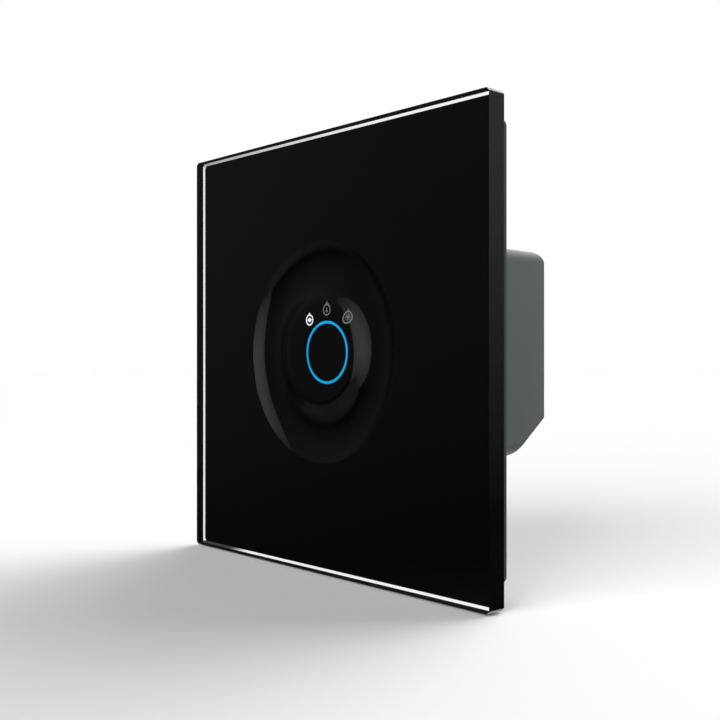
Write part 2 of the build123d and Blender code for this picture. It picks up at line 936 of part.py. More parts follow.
def pole_hollow(x):
    """Everything that is cut out of a block for one pole."""
    cavity_width = cage_width + 2 * cage_side_gap
    hollow = between_depths(x, cavity_width, cavity_front, cavity_rear, cavity_low, cavity_top)
    hollow += slab(Pos(x, screw_z) * Circle(clamp_screw_r + chimney_clearance), cavity_rear, seat_rear)
    hollow += slab(Pos(x, screw_z) * Circle(clamp_head_r + chimney_clearance), seat_rear, terminal_end)
    hollow += upright(Pos(x, wire_y) * Circle(wire_hole_r), terminal_low, cavity_low)
    funnel = Cone(wire_hole_r + wire_funnel, wire_hole_r, wire_funnel)
    return hollow + Pos(x, wire_y, terminal_low + wire_funnel / 2) * funnel


def current_bar(x):
    """Flat bar across the cage's window, with a leg down to the board."""
    leg_top = leg_z + leg_side / 2
    bar = between_depths(x, bar_width, bar_front, bar_rear, cavity_low - bar_seat, leg_top)
    leg_end = power_board_y - leg_tail
    return bar + between_depths(x, leg_side, leg_end, bar_front, leg_z - leg_side / 2, leg_top)


def terminal_block(places):
    """Moulded block for some neighbouring poles, following the slope of the housing inside."""
    left = places[0] - pole_pitch / 2
    right = places[-1] + pole_pitch / 2
    shoulder = -half_height(terminal_end) + housing_wall + terminal_housing_gap
    middle = Pos((power_board_rear + terminal_end) / 2, (terminal_top_z + shoulder) / 2)
    outline = middle * Rectangle(terminal_end - power_board_rear, terminal_top_z - shoulder)
    block = across(outline - slope_waste(housing_wall + terminal_housing_gap), left, right)
    mouth = Rectangle(terminal_mouth_depth, cavity_low - terminal_low)
    block += across(Pos(wire_y, (terminal_low + cavity_low) / 2) * mouth, left, right)
    for x in places:
        block = block - pole_hollow(x) - current_bar(x)
    return block


def terminal_cage(x):
    """Square ring that climbs the screw and lifts the wire against the bar."""
    low = screw_z - cage_depth / 2
    high = screw_z + cage_depth / 2
    cage = between_depths(x, cage_width, cage_front, cage_rear, low, high)
    cage -= between_depths(x, cage_width - 2 * cage_side_wall, space_front, nut_front, low, high)
    return cage - slab(Pos(x, screw_z) * Circle(clamp_screw_r + clamp_screw_fit), nut_front, cage_rear)


def terminal_screw(x):
    shank = slab(Pos(x, screw_z) * Circle(clamp_screw_r), bar_rear + clamp_tip_gap, clamp_head_front)
    head = slab(Pos(x, screw_z) * Circle(clamp_head_r), clamp_head_front, clamp_head_rear)
    recess_front = clamp_head_rear - clamp_slot_depth
    slot_outline = Pos(x, screw_z) * Rectangle(2 * clamp_head_r + clamp_slot_width, clamp_slot_width)
    return shank + head - slab(slot_outline, recess_front, clamp_head_rear)


# Transistors on the rear face of the power board, just above the terminals

def transistor_places():
    pitch = transistor_width + transistor_gap
    z = terminal_top_z + transistor_foot_gap + transistor_leg_length + transistor_length / 2
    return [((number - (transistor_count - 1) / 2) * pitch, z) for number in range(transistor_count)]


def transistor_tab(x, z):
    """Cooling tab under the body, standing out at its top."""
    high = z + transistor_length / 2 + tab_plate_reach
    rear = power_board_rear + tab_plate_thickness
    return between_depths(x, tab_plate_width, power_board_rear, rear, high - tab_plate_length, high)


def transistor_legs(x, z):
    """Two outer legs that stand out at the body's foot."""
    foot = z - transistor_length / 2
    low = foot - transistor_leg_length
    high = foot + transistor_leg_root
    rear = power_board_rear + transistor_leg_thickness
    centres = (x - transistor_leg_spread, x + transistor_leg_spread)
    return [between_depths(c, transistor_leg_width, power_board_rear, rear, low, high) for c in centres]


def power_transistors():
    bodies = []
    for place in transistor_places():
        outline = Pos(*place) * Rectangle(transistor_width, transistor_length)
        body = slab(outline, power_board_rear, power_board_rear + transistor_height)
        bodies.append(body - transistor_tab(*place) - transistor_legs(*place))
    return bodies


def transistor_tabs():
    pieces = []
    for place in transistor_places():
        pieces += [transistor_tab(*place), *transistor_legs(*place)]
    return pieces


# Two rows of parts, one above the transistors and one at the board's upper edge

def row_places(low_z, sizes):
    """Centres of parts that stand side by side on one line, from their widths and heights."""
    x = -(sum(width for width, height in sizes) + part_gap * (len(sizes) - 1)) / 2
    places = []
    for width, height in sizes:
        places.append((x + width / 2, low_z + height / 2))
        x += width + part_gap
    return places


def middle_row():
    """Capacitor, coil, driver chip and regulator chip."""
    low_z = transistor_places()[0][1] + transistor_length / 2 + tab_plate_reach + part_gap
    sleeve_size = 2 * (capacitor_r + sleeve_gap + sleeve_thickness)
    leaded_width = chip_width + 2 * chip_lead_reach
    sizes = [(sleeve_size, sleeve_size), (coil_size, coil_size)]
    sizes += [(leaded_width, driver_length), (leaded_width, regulator_length)]
    return row_places(low_z, sizes)


def top_row():
    """Fuse, reverse diode and a group of small parts, below the board's upper edge."""
    low_z = board_half_height() - power_board_margin - diode_size[1]
    group_width = (power_passive_columns - 1) * passive_pitch_x + passive_length
    group_height = (power_passive_rows - 1) * passive_pitch_z + passive_width
    return row_places(low_z, [fuse_size[:2], diode_size[:2], (group_width, group_height)])


def input_capacitor(place):
    """Aluminium can on a plastic base, with a rounded end."""
    base = Pos(*place) * Rectangle(2 * capacitor_r, 2 * capacitor_r)
    can_front = power_board_rear + capacitor_base
    can_rear = power_board_rear + capacitor_height
    can = slab(Pos(*place) * Circle(capacitor_r), can_front, can_rear)
    can = fillet(can.edges().sort_by(Axis.Y)[-1], sleeve_lip)
    return can + slab(base, power_board_rear, can_front)


def capacitor_sleeve(place):
    inner = capacitor_r + sleeve_gap
    outline = Circle(inner + sleeve_thickness) - Circle(inner)
    front = power_board_rear + capacitor_base
    rear = power_board_rear + capacitor_height - sleeve_lip
    return slab(Pos(*place) * outline, front, rear)


def storage_coil(place):
    """Shielded coil: a square block with cut corners."""
    outline = chamfer(Rectangle(coil_size, coil_size).vertices(), coil_corner_cut)
    return slab(Pos(*place) * outline, power_board_rear, power_board_rear + coil_height)


def gull_lead(x, z, side):
    """One bent lead that leaves the chip's side and stands on the board."""
    start = chip_width / 2
    knee = start + chip_lead_step
    end = start + chip_lead_reach
    low = power_board_rear
    high = power_board_rear + chip_height / 2
    thick = chip_lead_thickness
    outline = Polygon(
        (x + side * start, high),
        (x + side * knee, high),
        (x + side * (knee + thick), low + thick),
        (x + side * end, low + thick),
        (x + side * end, low),
        (x + side * knee, low),
        (x + side * (knee - thick), high - thick),
        (x + side * start, high - thick),
        align=None,
    )
    return upright(outline, z - chip_lead_width / 2, z + chip_lead_width / 2)


def leaded_chip(place, length, leads_a_side):
    x, z = place
    body_front = power_board_rear + chip_lead_thickness
    body = slab(Pos(x, z) * Rectangle(chip_width, length), body_front, power_board_rear + chip_height)
    for row in range(leads_a_side):
        lead_z = z + (row - (leads_a_side - 1) / 2) * chip_lead_pitch
        body += [gull_lead(x, lead_z, 1), gull_lead(x, lead_z, -1)]
    return body


def board_brick(place, size):
    """Plain moulded part on the board: width, length and height."""
    width, length, height = size
    brick = slab(Pos(*place) * Rectangle(width, length), power_board_rear, power_board_rear + height)
    return chamfer(brick.faces().sort_by(Axis.Y)[-1].edges(), brick_chamfer)


def write_panel():
    windows = film_windows()
    save("glass_panel", glass_panel())
    save("mask_film", mask_film(windows))
    for name, outline in windows.items():
        save(name, slab(outline, glass_rear, film_rear))
    save("panel_tape", panel_tape())
    save("panel_frame", panel_frame())
    save("light_block", light_block())
    save("ring_light_guide", ring_light_guide())
    save("sign_light_guides", *sign_light_guides())
    save("touch_board", touch_board())
    save("touch_pads", touch_pads())
    save("ring_leds", *ring_leds())
    save("sign_leds", *sign_leds())
    save("touch_chip", touch_chip())
    small_parts = grid_places(
        touch_passive_columns, touch_passive_rows, passive_pitch_x, passive_pitch_z, touch_passive_place
    )
    save("touch_board_passives", *passives(small_parts, touch_board_rear))
    save("header_base", header_base())
    save("header_pins", header_pins())


def write_base():
    save("mounting_plate", mounting_plate())
    save("rear_housing", rear_housing())
    save("front_cover", front_cover())
    save("housing_screws", *housing_screws())
    save("power_board", power_board())
    save("board_screws", *board_screws())
    save("header_socket", header_socket())


def write_board_parts():
    capacitor_place, coil_place, driver_place, regulator_place = middle_row()
    fuse_place, diode_place, group_place = top_row()
    save("power_transistors", *power_transistors())
    save("transistor_tabs", *transistor_tabs())
    save("input_capacitor", input_capacitor(capacitor_place))
    save("capacitor_sleeve", capacitor_sleeve(capacitor_place))
    save("storage_coil", storage_coil(coil_place))
    save("regulator_chip", leaded_chip(regulator_place, regulator_length, regulator_lead_count))
    save("driver_chip", leaded_chip(driver_place, driver_length, driver_lead_count))
    save("input_fuse", board_brick(fuse_place, fuse_size))
    save("reverse_diode", board_brick(diode_place, diode_size))
    small_parts = grid_places(
        power_passive_columns, power_passive_rows, passive_pitch_x, passive_pitch_z, group_place
    )
    save("power_board_passives", *passives(small_parts, power_board_rear))


def write_terminals():
    places = pole_places()
    for number in range(pole_count // poles_per_block):
        first = number * poles_per_block
        save(f"terminal_block_{number + 1}", terminal_block(places[first:first + poles_per_block]))
    save("terminal_bars", *[current_bar(x) for x in places])
    for number, x in enumerate(places, 1):
        save(f"terminal_cage_{number}", terminal_cage(x))
        save(f"terminal_screw_{number}", terminal_screw(x))


os.makedirs("parts", exist_ok=True)
write_panel()
write_base()
write_board_parts()
write_terminals()
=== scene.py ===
import bpy
import bmesh
from math import atan2, cos, pi, radians, sin, sqrt
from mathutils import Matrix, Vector


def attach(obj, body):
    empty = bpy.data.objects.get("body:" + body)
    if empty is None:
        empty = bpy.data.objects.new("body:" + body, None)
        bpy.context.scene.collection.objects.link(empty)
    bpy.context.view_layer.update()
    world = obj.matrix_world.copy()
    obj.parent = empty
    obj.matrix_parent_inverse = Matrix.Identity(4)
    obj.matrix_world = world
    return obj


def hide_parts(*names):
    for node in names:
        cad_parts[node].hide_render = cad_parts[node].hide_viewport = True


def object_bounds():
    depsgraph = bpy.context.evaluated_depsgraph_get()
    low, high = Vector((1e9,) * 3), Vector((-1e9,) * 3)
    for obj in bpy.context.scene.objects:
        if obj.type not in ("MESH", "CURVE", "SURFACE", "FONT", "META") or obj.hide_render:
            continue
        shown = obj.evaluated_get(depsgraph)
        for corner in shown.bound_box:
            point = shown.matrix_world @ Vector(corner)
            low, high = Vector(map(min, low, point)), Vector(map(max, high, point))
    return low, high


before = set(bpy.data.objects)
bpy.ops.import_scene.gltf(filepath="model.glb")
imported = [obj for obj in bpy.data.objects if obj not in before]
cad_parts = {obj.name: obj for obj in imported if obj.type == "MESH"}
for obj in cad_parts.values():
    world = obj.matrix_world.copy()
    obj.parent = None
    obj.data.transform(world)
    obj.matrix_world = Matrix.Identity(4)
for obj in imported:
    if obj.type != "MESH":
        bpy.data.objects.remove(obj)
cad_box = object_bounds()
mm = 0.001


# Camera
# It stands level, a little below the middle of the glass and to its right, and looks along a line
# that meets the panel at 47.6 degrees, with a lens of 49.6 mm.
camera_place = (137.708 * mm, -123.468 * mm, -1.388 * mm)
camera_turn = 47.645
camera_lens = 49.61

camera_data = bpy.data.cameras.new("camera")
camera_data.lens = camera_lens
camera_data.sensor_width = 36.0
camera_data.clip_start = 0.01
camera_data.clip_end = 20.0
camera = bpy.data.objects.new("camera", camera_data)
camera.location = camera_place
camera.rotation_euler = (radians(90), 0, radians(camera_turn))
bpy.context.scene.collection.objects.link(camera)
bpy.context.scene.camera = camera
bpy.context.scene.view_settings.view_transform = "Standard"


# Softboxes
# Two broad lights with soft white fronts hang above the table, one in front of the panel and a
# brighter one behind it. Turns are degrees from straight in front or straight behind, and a height
# is the upward part of a direction.
softbox_light = 7.1
soft_fill = 0.02
front_box_sides = (-33, 20)
front_box_blur = 6
front_box_share = 0.85
rear_box_sides = (-55, 42)
rear_box_blur = 5
rear_box_shares = ((-55, 0.15), (-5, 1.1), (48, 0.3))
box_bottom = (0.04, 0.26)
box_top = (0.35, 0.95)
box_top_share = 0.08


def add(tree, kind, inputs=(), **settings):
    """Node of one kind, with its settings, and values or links for its inputs."""
    node = tree.nodes.new("ShaderNode" + kind)
    for name, value in settings.items():
        setattr(node, name, value)
    for name, value in dict(inputs).items():
        socket = node.inputs[name]
        if isinstance(value, bpy.types.NodeSocket):
            tree.links.new(value, socket)
        else:
            socket.default_value = value
    return node


def combine(tree, operation, first, second=0.0, third=0.0):
    """Result of one sum on up to three numbers."""
    return add(tree, "Math", {0: first, 1: second, 2: third}, operation=operation).outputs[0]


def times(tree, *values):
    """Product of several numbers."""
    product = values[0]
    for value in values[1:]:
        product = combine(tree, "MULTIPLY", product, value)
    return product


def pick(tree, mask, first, second):
    """Number that goes from first to second as the mask goes from 0 to 1."""
    return add(tree, "Mix", {0: mask, 2: first, 3: second}).outputs[0]


def ramp(tree, value, low, high, start=0.0, end=1.0, curve="SMOOTHSTEP"):
    """Number that goes from start to end as the value goes from low to high."""
    limits = {"Value": value, "From Min": low, "From Max": high, "To Min": start, "To Max": end}
    return add(tree, "MapRange", limits, interpolation_type=curve).outputs[0]


def along(tree, value, points):
    """Number that follows straight lines through the points, and is level beyond them."""
    number = points[0][1]
    for (low, start), (high, end) in zip(points, points[1:]):
        number = combine(tree, "ADD", number, ramp(tree, value, low, high, 0.0, end - start, "LINEAR"))
    return number


def between(tree, value, low, high, blur):
    """1 between two limits and 0 beyond them, with soft edges."""
    rise = ramp(tree, value, low - blur, low + blur)
    return times(tree, rise, ramp(tree, value, high - blur, high + blur, 1.0, 0.0))


def softboxes(tree, front_turn, rear_turn, height):
    """Light that falls on the scene from each direction."""
    front = times(tree, between(tree, front_turn, *front_box_sides, front_box_blur), front_box_share)
    rear = between(tree, rear_turn, *rear_box_sides, rear_box_blur)
    rear = times(tree, along(tree, rear_turn, rear_box_shares), rear)
    topped = ramp(tree, height, *box_top, 1.0, box_top_share, "LINEAR")
    raised = times(tree, ramp(tree, height, *box_bottom), topped)
    boxes = times(tree, combine(tree, "MAXIMUM", front, rear), raised)
    return pick(tree, boxes, soft_fill, softbox_light)


# Room in front of the panel
# Polished surfaces see the near side of the studio: the front softbox with its slanting edge, the
# dim room beside it and the table below. A line is given by its points, and a fade by where it
# starts and ends and by the values before and after it.
screen_edge = ((-0.5, 21.5), (0.0, 32.4), (0.3, 35.8), (0.42, 39.0))
screen_blur = 0.7
screen_light = ((-0.3, 0.2), (0.0, 0.97), (0.1, 0.97), (0.3, 0.8924))
screen_side_fade = (16.5, 40, 1.0, 0.36)
screen_top_fade = (0.325, 0.365, 1.0, 0.7)
room_low = 0.055
room_high = 0.13
room_light = ((-0.18, room_low), (0.45, room_high))
room_foot = ((-0.22, 0.43), (-0.07, 1.0))
room_foot_fade = (56, 64, 0.43, 0.85)
room_far_fade = (64, 78, 1.0, 0.4)
table_light_fade = (33, 45, 0.19, 0.13)
table_far_fade = (62, 75, 1.0, 0.25)
table_far_edge = ((31, -0.235), (52, -0.345))
table_edge_top = -0.198


def room_in_front(tree, turn, height):
    """What polished surfaces see in front of the panel."""
    beyond = combine(tree, "SUBTRACT", turn, along(tree, height, screen_edge))
    screen = ramp(tree, beyond, -screen_blur, screen_blur, 1.0, 0.0)
    screen = times(tree, screen, ramp(tree, height, *screen_top_fade))
    lit = times(tree, ramp(tree, turn, *screen_side_fade), along(tree, height, screen_light))
    foot = combine(tree, "MAXIMUM", along(tree, height, room_foot), ramp(tree, turn, *room_foot_fade))
    room = times(tree, along(tree, height, room_light), foot, ramp(tree, turn, *room_far_fade))
    table = times(tree, ramp(tree, turn, *table_light_fade), ramp(tree, turn, *table_far_fade))
    far_edge = along(tree, turn, table_far_edge)
    above_table = ramp(tree, height, far_edge, table_edge_top, 0.0, 1.0, "LINEAR")
    return pick(tree, above_table, table, pick(tree, screen, room, lit))


# White surround
# White paper hangs behind the panel, above it and below it. Polished sides see it bright on the
# left and dim on the right. The clear border of the glass shows it as a white line, dimmer at its
# far left end.
glow_fade = (0.2, 0.45, 1.0, 2.2)
dim_side = (5, 25)
dim_side_light = ((-0.15, 0.01), (0.2, 0.42))
steep_heights = (0.45, 0.55)
border_heights = (0.186, 0.191)
border_light = ((-57.5, 0.42), (-47, 1.0))
border_end_fade = (-57.4, -55.8, 0.1, 1.0)
behind_blur = 0.02


def node_tree(owner):
    """Empty node tree of a material or a world."""
    owner.use_nodes = True
    owner.node_tree.nodes.clear()
    return owner.node_tree


def surround_mirrored(tree, turn, height):
    """What polished surfaces see behind the panel."""
    glow = ramp(tree, height, *glow_fade)
    return pick(tree, ramp(tree, turn, *dim_side), glow, along(tree, height, dim_side_light))


def surround_through(tree, turn, height):
    """What clear glass shows of the white surround."""
    dimmer = times(tree, along(tree, turn, border_light), ramp(tree, turn, *border_end_fade))
    return pick(tree, ramp(tree, height, *border_heights), 1.0, dimmer)


def studio_world():
    """World that answers each kind of ray by its direction alone."""
    world = bpy.data.worlds.new("white_surround")
    tree = node_tree(world)
    ray = add(tree, "LightPath").outputs
    way = add(tree, "SeparateXYZ", {"Vector": add(tree, "TexCoord").outputs["Generated"]}).outputs
    left, forward = times(tree, way["X"], -1.0), times(tree, way["Y"], -1.0)
    front_turn = combine(tree, "DEGREES", combine(tree, "ARCTAN2", left, forward))
    rear_turn = combine(tree, "DEGREES", combine(tree, "ARCTAN2", way["X"], way["Y"]))
    height = way["Z"]
    behind = ramp(tree, way["Y"], -behind_blur, behind_blur)
    steep = ramp(tree, combine(tree, "ABSOLUTE", height), *steep_heights)

    front = room_in_front(tree, front_turn, height)
    mirrored = pick(tree, behind, front, surround_mirrored(tree, rear_turn, height))
    white = combine(tree, "MAXIMUM", behind, steep)
    through = pick(tree, white, front, surround_through(tree, rear_turn, height))
    strength = softboxes(tree, front_turn, rear_turn, height)
    strength = pick(tree, ray["Is Glossy Ray"], strength, mirrored)
    strength = pick(tree, ray["Is Transmission Ray"], strength, through)
    strength = pick(tree, ray["Is Camera Ray"], strength, 1.0)
    background = add(tree, "Background", {"Color": (1, 1, 1, 1), "Strength": strength})
    add(tree, "OutputWorld", {"Surface": background.outputs[0]})
    return world


bpy.context.scene.world = studio_world()


# Table
# A wide matt white sheet just below the housing. Through the clear border of the glass it shows as
# white, with painted shade that darkens it in front of the panel and in the panel's own shade.
table_drop = 0.3
table_reach = 2.5
table_white = (0.95, 0.95, 0.95, 1)
# painted shade: places in mm where the table, seen through the glass, is darkened
painted_front_shade = (-30, -12)
shade_left = (-43.6, -42.8)
shade_right = (-33, -26)
shade_rear = (1, 4)


def scaled(tree, vector, factor):
    """Colour or place times a number."""
    return add(tree, "VectorMath", {0: vector, "Scale": factor}, operation="SCALE").outputs[0]


def table_finish():
    """Matt white, which clear glass shows as a glow with painted shade at places given in mm."""
    finish = bpy.data.materials.new("matt_white_table")
    tree = node_tree(finish)
    matt = add(tree, "BsdfDiffuse", {"Color": table_white})
    place = scaled(tree, add(tree, "NewGeometry").outputs["Position"], 1 / mm)
    axes = add(tree, "SeparateXYZ", {"Vector": place}).outputs
    # painted shade: the glow seen through the glass drops to the dim room level in front of the panel and
    # near its lower left corner
    left = ramp(tree, axes["X"], *shade_left, 1.0, 0.0)
    beside = combine(tree, "MAXIMUM", left, ramp(tree, axes["X"], *shade_right))
    clear = combine(tree, "MAXIMUM", ramp(tree, axes["Y"], *shade_rear), beside)
    glow = pick(tree, times(tree, ramp(tree, axes["Y"], *painted_front_shade), clear), room_low, 1.0)
    seen_through = add(tree, "Emission", {"Color": (1, 1, 1, 1), "Strength": glow})
    clear_ray = add(tree, "LightPath").outputs["Is Transmission Ray"]
    shown = add(tree, "MixShader", {0: clear_ray, 1: matt.outputs[0], 2: seen_through.outputs[0]})
    add(tree, "OutputMaterial", {"Surface": shown.outputs[0]})
    return finish


def studio_floor():
    """One flat square below everything, which mirrors leave out."""
    low = cad_box[0].z - table_drop * mm
    corners = [(x * table_reach, y * table_reach, low) for x, y in ((-1, -1), (1, -1), (1, 1), (-1, 1))]
    mesh = bpy.data.meshes.new("studio_floor")
    mesh.from_pydata(corners, [], [(0, 1, 2, 3)])
    mesh.materials.append(table_finish())
    floor = bpy.data.objects.new("studio_floor", mesh)
    bpy.context.scene.collection.objects.link(floor)
    floor.visible_glossy = False
    return floor


studio_floor()


# Glass plate
# One square plate of clear float glass, 3.6 mm thick, with a round finger trough ground and
# polished into its front and its rear edge just blunted. The black film lies behind it, short of
# its edge all round.
glass_size = 80.0
glass_front = -8.0
glass_rear = -4.395
glass_corner_cut = 0.5
glass_rear_bevel = 0.02
glass_tint = (0.975, 0.98, 0.98, 1)
glass_ior = 1.47
trough_outer_r = 20.0
trough_inner_r = 9.6
trough_depth = 1.0
trough_rounding = 6.0
rounding_steps = 16
trough_steps = 40
trough_turns = 384


def surface(name, **inputs):
    """Material of one principled shader, and its tree, shader and object coordinates."""
    material = bpy.data.materials.new(name)
    tree = node_tree(material)
    shader = add(tree, "BsdfPrincipled", {key.replace("_", " "): value for key, value in inputs.items()})
    add(tree, "OutputMaterial", {"Surface": shader.outputs[0]})
    return material, tree, shader, add(tree, "TexCoord").outputs["Object"]


def clear_glass():
    """Clear glass, polished all over."""
    return surface(
        "polished_clear_glass",
        Base_Color=glass_tint,
        Roughness=0.0,
        IOR=glass_ior,
        Transmission_Weight=1.0,
    )[0]


def cut_square(size):
    """Corner points (x, z) of a square in mm whose four corners are cut off."""
    half = size / 2
    near = half - glass_corner_cut
    return [
        (half, -near), (half, near), (near, half), (-near, half),
        (-half, near), (-half, -near), (-near, -half), (near, -half),
    ]


def loop_of(bm, places, y):
    """Points of the mesh at (x, z) places and one depth, all in mm."""
    return [bm.verts.new((x * mm, y * mm, z * mm)) for x, z in places]


def join(bm, first, second):
    """Faces between two loops of equally many points."""
    following = [(n + 1) % len(first) for n in range(len(first))]
    return [bm.faces.new((first[n], first[m], second[m], second[n])) for n, m in enumerate(following)]


def made(name, bm, material):
    """Object made from a finished mesh."""
    bmesh.ops.recalc_face_normals(bm, faces=bm.faces)
    mesh = bpy.data.meshes.new(name)
    bm.to_mesh(mesh)
    bm.free()
    mesh.materials.append(material)
    piece = bpy.data.objects.new(name, mesh)
    bpy.context.scene.collection.objects.link(piece)
    return piece


def trough_profile():
    """Radius and depth below the front face, from the plateau's flat to the outer rim."""
    middle = (trough_outer_r + trough_inner_r) / 2
    half = (trough_outer_r - trough_inner_r) / 2
    arc_r = (half ** 2 + trough_depth ** 2) / (2 * trough_depth)
    centre = trough_depth - arc_r
    # the inner rim is rounded by a circle that touches the plateau and the arc
    round_middle = middle - sqrt((arc_r + trough_rounding) ** 2 - (trough_rounding - centre) ** 2)
    round_end = atan2(middle - round_middle, trough_rounding - centre)
    arc_end = atan2(half, -centre)
    points = []
    for step in range(rounding_steps + 1):
        turn = round_end * step / rounding_steps
        depth = trough_rounding - trough_rounding * cos(turn)
        points.append((round_middle + trough_rounding * sin(turn), depth))
    for step in range(1, trough_steps + 1):
        turn = -round_end + (arc_end + round_end) * step / trough_steps
        points.append((middle + arc_r * sin(turn), centre + arc_r * cos(turn)))
    return points


def fan_out(bm, rim, corners):
    """Front face round the trough: each edge of its rim is joined to the nearest corner."""
    turns = len(rim)

    def nearest(n):
        turn = 2 * pi * (n + 0.5) / turns
        reach = [point.co.x * cos(turn) + point.co.z * sin(turn) for point in corners]
        return reach.index(max(reach))

    for n in range(turns):
        m = (n + 1) % turns
        corner = nearest(n)
        bm.faces.new((rim[n], rim[m], corners[corner]))
        while corner != nearest(m):
            following = (corner + 1) % len(corners)
            bm.faces.new((rim[m], corners[following], corners[corner]))
            corner = following


def glass_plate():
    """The plate with its trough, closed and solid, so that it bends light as glass does."""
    bm = bmesh.new()
    angles = [2 * pi * n / trough_turns for n in range(trough_turns)]
    rings = [
        [bm.verts.new((r * mm * cos(a), (glass_front + depth) * mm, r * mm * sin(a))) for a in angles]
        for r, depth in trough_profile()
    ]
    for inner, outer in zip(rings, rings[1:]):
        for face in join(bm, inner, outer):
            face.smooth = True
    plateau, rim = rings[0], rings[-1]
    bm.faces.new(list(reversed(plateau)))
    front = loop_of(bm, cut_square(glass_size), glass_front)
    waist = loop_of(bm, cut_square(glass_size), glass_rear - glass_rear_bevel)
    rear = loop_of(bm, cut_square(glass_size - 2 * glass_rear_bevel), glass_rear)
    fan_out(bm, rim, front)
    join(bm, front, waist)
    join(bm, waist, rear)
    bm.faces.new(rear)
    for n in range(trough_turns):
        bm.edges.get((rim[n], rim[(n + 1) % trough_turns])).smooth = False
    return made("glass_plate", bm, clear_glass())


plate = glass_plate()
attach(plate, "panel")
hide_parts("glass_panel")


# Black edge of the glass
# The ground sides of the plate are painted black. The coat is drawn just inside the glass, so that
# the sides keep the gloss of the glass outside and no light comes in through them.
edge_coat_depth = 0.005
edge_coat_end = 0.03
edge_tint = (1.0, 1.0, 1.03)
edge_dark = 0.006
# painted highlight: a lighter grey for the top and bottom edges and the heights where it starts
edge_highlight_grey = 0.06
edge_highlight_heights = (39.6, 39.9)


def noise(tree, place, size, detail=2.0):
    """Noise with marks of about one size in mm."""
    return add(tree, "TexNoise", {"Vector": place, "Scale": 1 / (size * mm), "Detail": detail}).outputs[0]


def spread(tree, marks, low, high):
    """Noise brought to lie between two values."""
    return ramp(tree, marks, 0.3, 0.7, low, high)


def feed(shader, **values):
    """Joins values that vary over the surface to a shader's inputs."""
    for name, value in values.items():
        shader.id_data.links.new(value, shader.inputs[name.replace("_", " ")])


def edge_paint():
    """Mottled black paint, with a painted highlight that makes it greyer along the top and bottom edges.
    """
    paint, tree, shader, place = surface("black_edge_paint", Roughness=0.6, Specular_IOR_Level=0.0)
    axes = add(tree, "SeparateXYZ", {"Vector": scaled(tree, place, 1 / mm)}).outputs
    # painted highlight: the paint turns greyer near the top and bottom edges
    painted_highlight = ramp(tree, combine(tree, "ABSOLUTE", axes["Z"]), *edge_highlight_heights)
    mottle = spread(tree, noise(tree, place, 0.6), 0.8, 1.2)
    tone = times(tree, mottle, pick(tree, painted_highlight, edge_dark, edge_highlight_grey))
    feed(shader, Base_Color=scaled(tree, edge_tint, tone))
    return paint


def edge_coat():
    """Four painted sides and the four cut corners, open at front and rear."""
    bm = bmesh.new()
    places = cut_square(glass_size - 2 * edge_coat_depth)
    front = loop_of(bm, places, glass_front + edge_coat_depth)
    join(bm, front, loop_of(bm, places, glass_rear - edge_coat_end))
    return made("black_edge_coat", bm, edge_paint())


coat = edge_coat()
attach(coat, "panel")


# Printed black film and its lit windows
# A thin polycarbonate film, screen printed black on its rear and laid behind the glass. The blue
# ring and the three small signs are left clear in the black and printed with coloured, translucent
# ink.
film_black = (0.0016, 0.0016, 0.0019)
ink_unlit = (0.004, 0.004, 0.004, 1)
ring_blue = (0.006, 0.44, 0.86)
sign_white = (0.93, 0.96, 1.0)


def dress(material, *names):
    """Gives a material to CAD nodes."""
    for name in names:
        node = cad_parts[name]
        node.data.materials.clear()
        node.data.materials.append(material)


def printed_black():
    """Matt screen ink with a faint mottle."""
    ink, tree, shader, place = surface("black_ink", Specular_IOR_Level=0.0)
    mottle = noise(tree, place, 0.6)
    colour = scaled(tree, film_black, spread(tree, mottle, 0.8, 1.2))
    feed(shader, Base_Color=colour, Roughness=spread(tree, mottle, 0.55, 0.7))
    return ink


def lit_ink(name, colour, strength, unevenness):
    """Translucent ink with a lamp behind it, a little uneven where the light guide is."""
    ink, tree, shader, place = surface(name, Base_Color=ink_unlit, Roughness=0.6, Specular_IOR_Level=0.0)
    patch = spread(tree, noise(tree, place, 3.0, 1.0), 1 - unevenness, 1 + unevenness)
    grain = ramp(tree, noise(tree, place, 0.12), 0.2, 0.8, 0.95, 1.05)
    feed(shader, Emission_Color=scaled(tree, colour, times(tree, patch, grain)))
    shader.inputs["Emission Strength"].default_value = strength
    return ink


dress(printed_black(), "mask_film")
dress(lit_ink("blue_ink", ring_blue, 0.85, 0.06), "ring_window")
dress(lit_ink("white_ink_lit", sign_white, 1.0, 0.03), "sign_window_left")
dress(lit_ink("white_ink_dim", sign_white, 0.17, 0.1), "sign_window_top", "sign_window_right")


# Foam tape
# A square frame of thin black acrylic foam with glue on both sides, cut by a die. It holds the
# glass with its film on the carrier frame.
foam_black = (0.028, 0.028, 0.028)
foam_cell = 0.12


def cells(tree, place, size):
    """Pattern of cells of one size in mm."""
    return add(tree, "TexVoronoi", {"Vector": place, "Scale": 1 / (size * mm)}).outputs


def relief(tree, height, depth, rounding=0.0):
    """Relief of one depth over edges softened to one radius, both in mm."""
    inputs = {"Height": height, "Distance": depth * mm}
    if rounding:
        inputs["Normal"] = add(tree, "Bevel", {"Radius": rounding * mm}, samples=4).outputs[0]
    return add(tree, "Bump", inputs).outputs[0]


def foam_tape():
    """Foam with fine closed cells."""
    foam, tree, shader, place = surface("black_foam", Roughness=0.85)
    cell = cells(tree, place, foam_cell)["Distance"]
    colour = scaled(tree, foam_black, ramp(tree, cell, 0.0, 0.8, 0.7, 1.2))
    feed(shader, Base_Color=colour, Normal=relief(tree, cell, 0.02))
    return foam


dress(foam_tape(), "panel_tape")


# Carrier frame
# One dark ABS moulding with a fine eroded texture. It carries the glass, and holds on the wall
# plate by four split friction pegs; the touch board is fixed to it by four heat stakes.
frame_grey = (0.085, 0.085, 0.087)


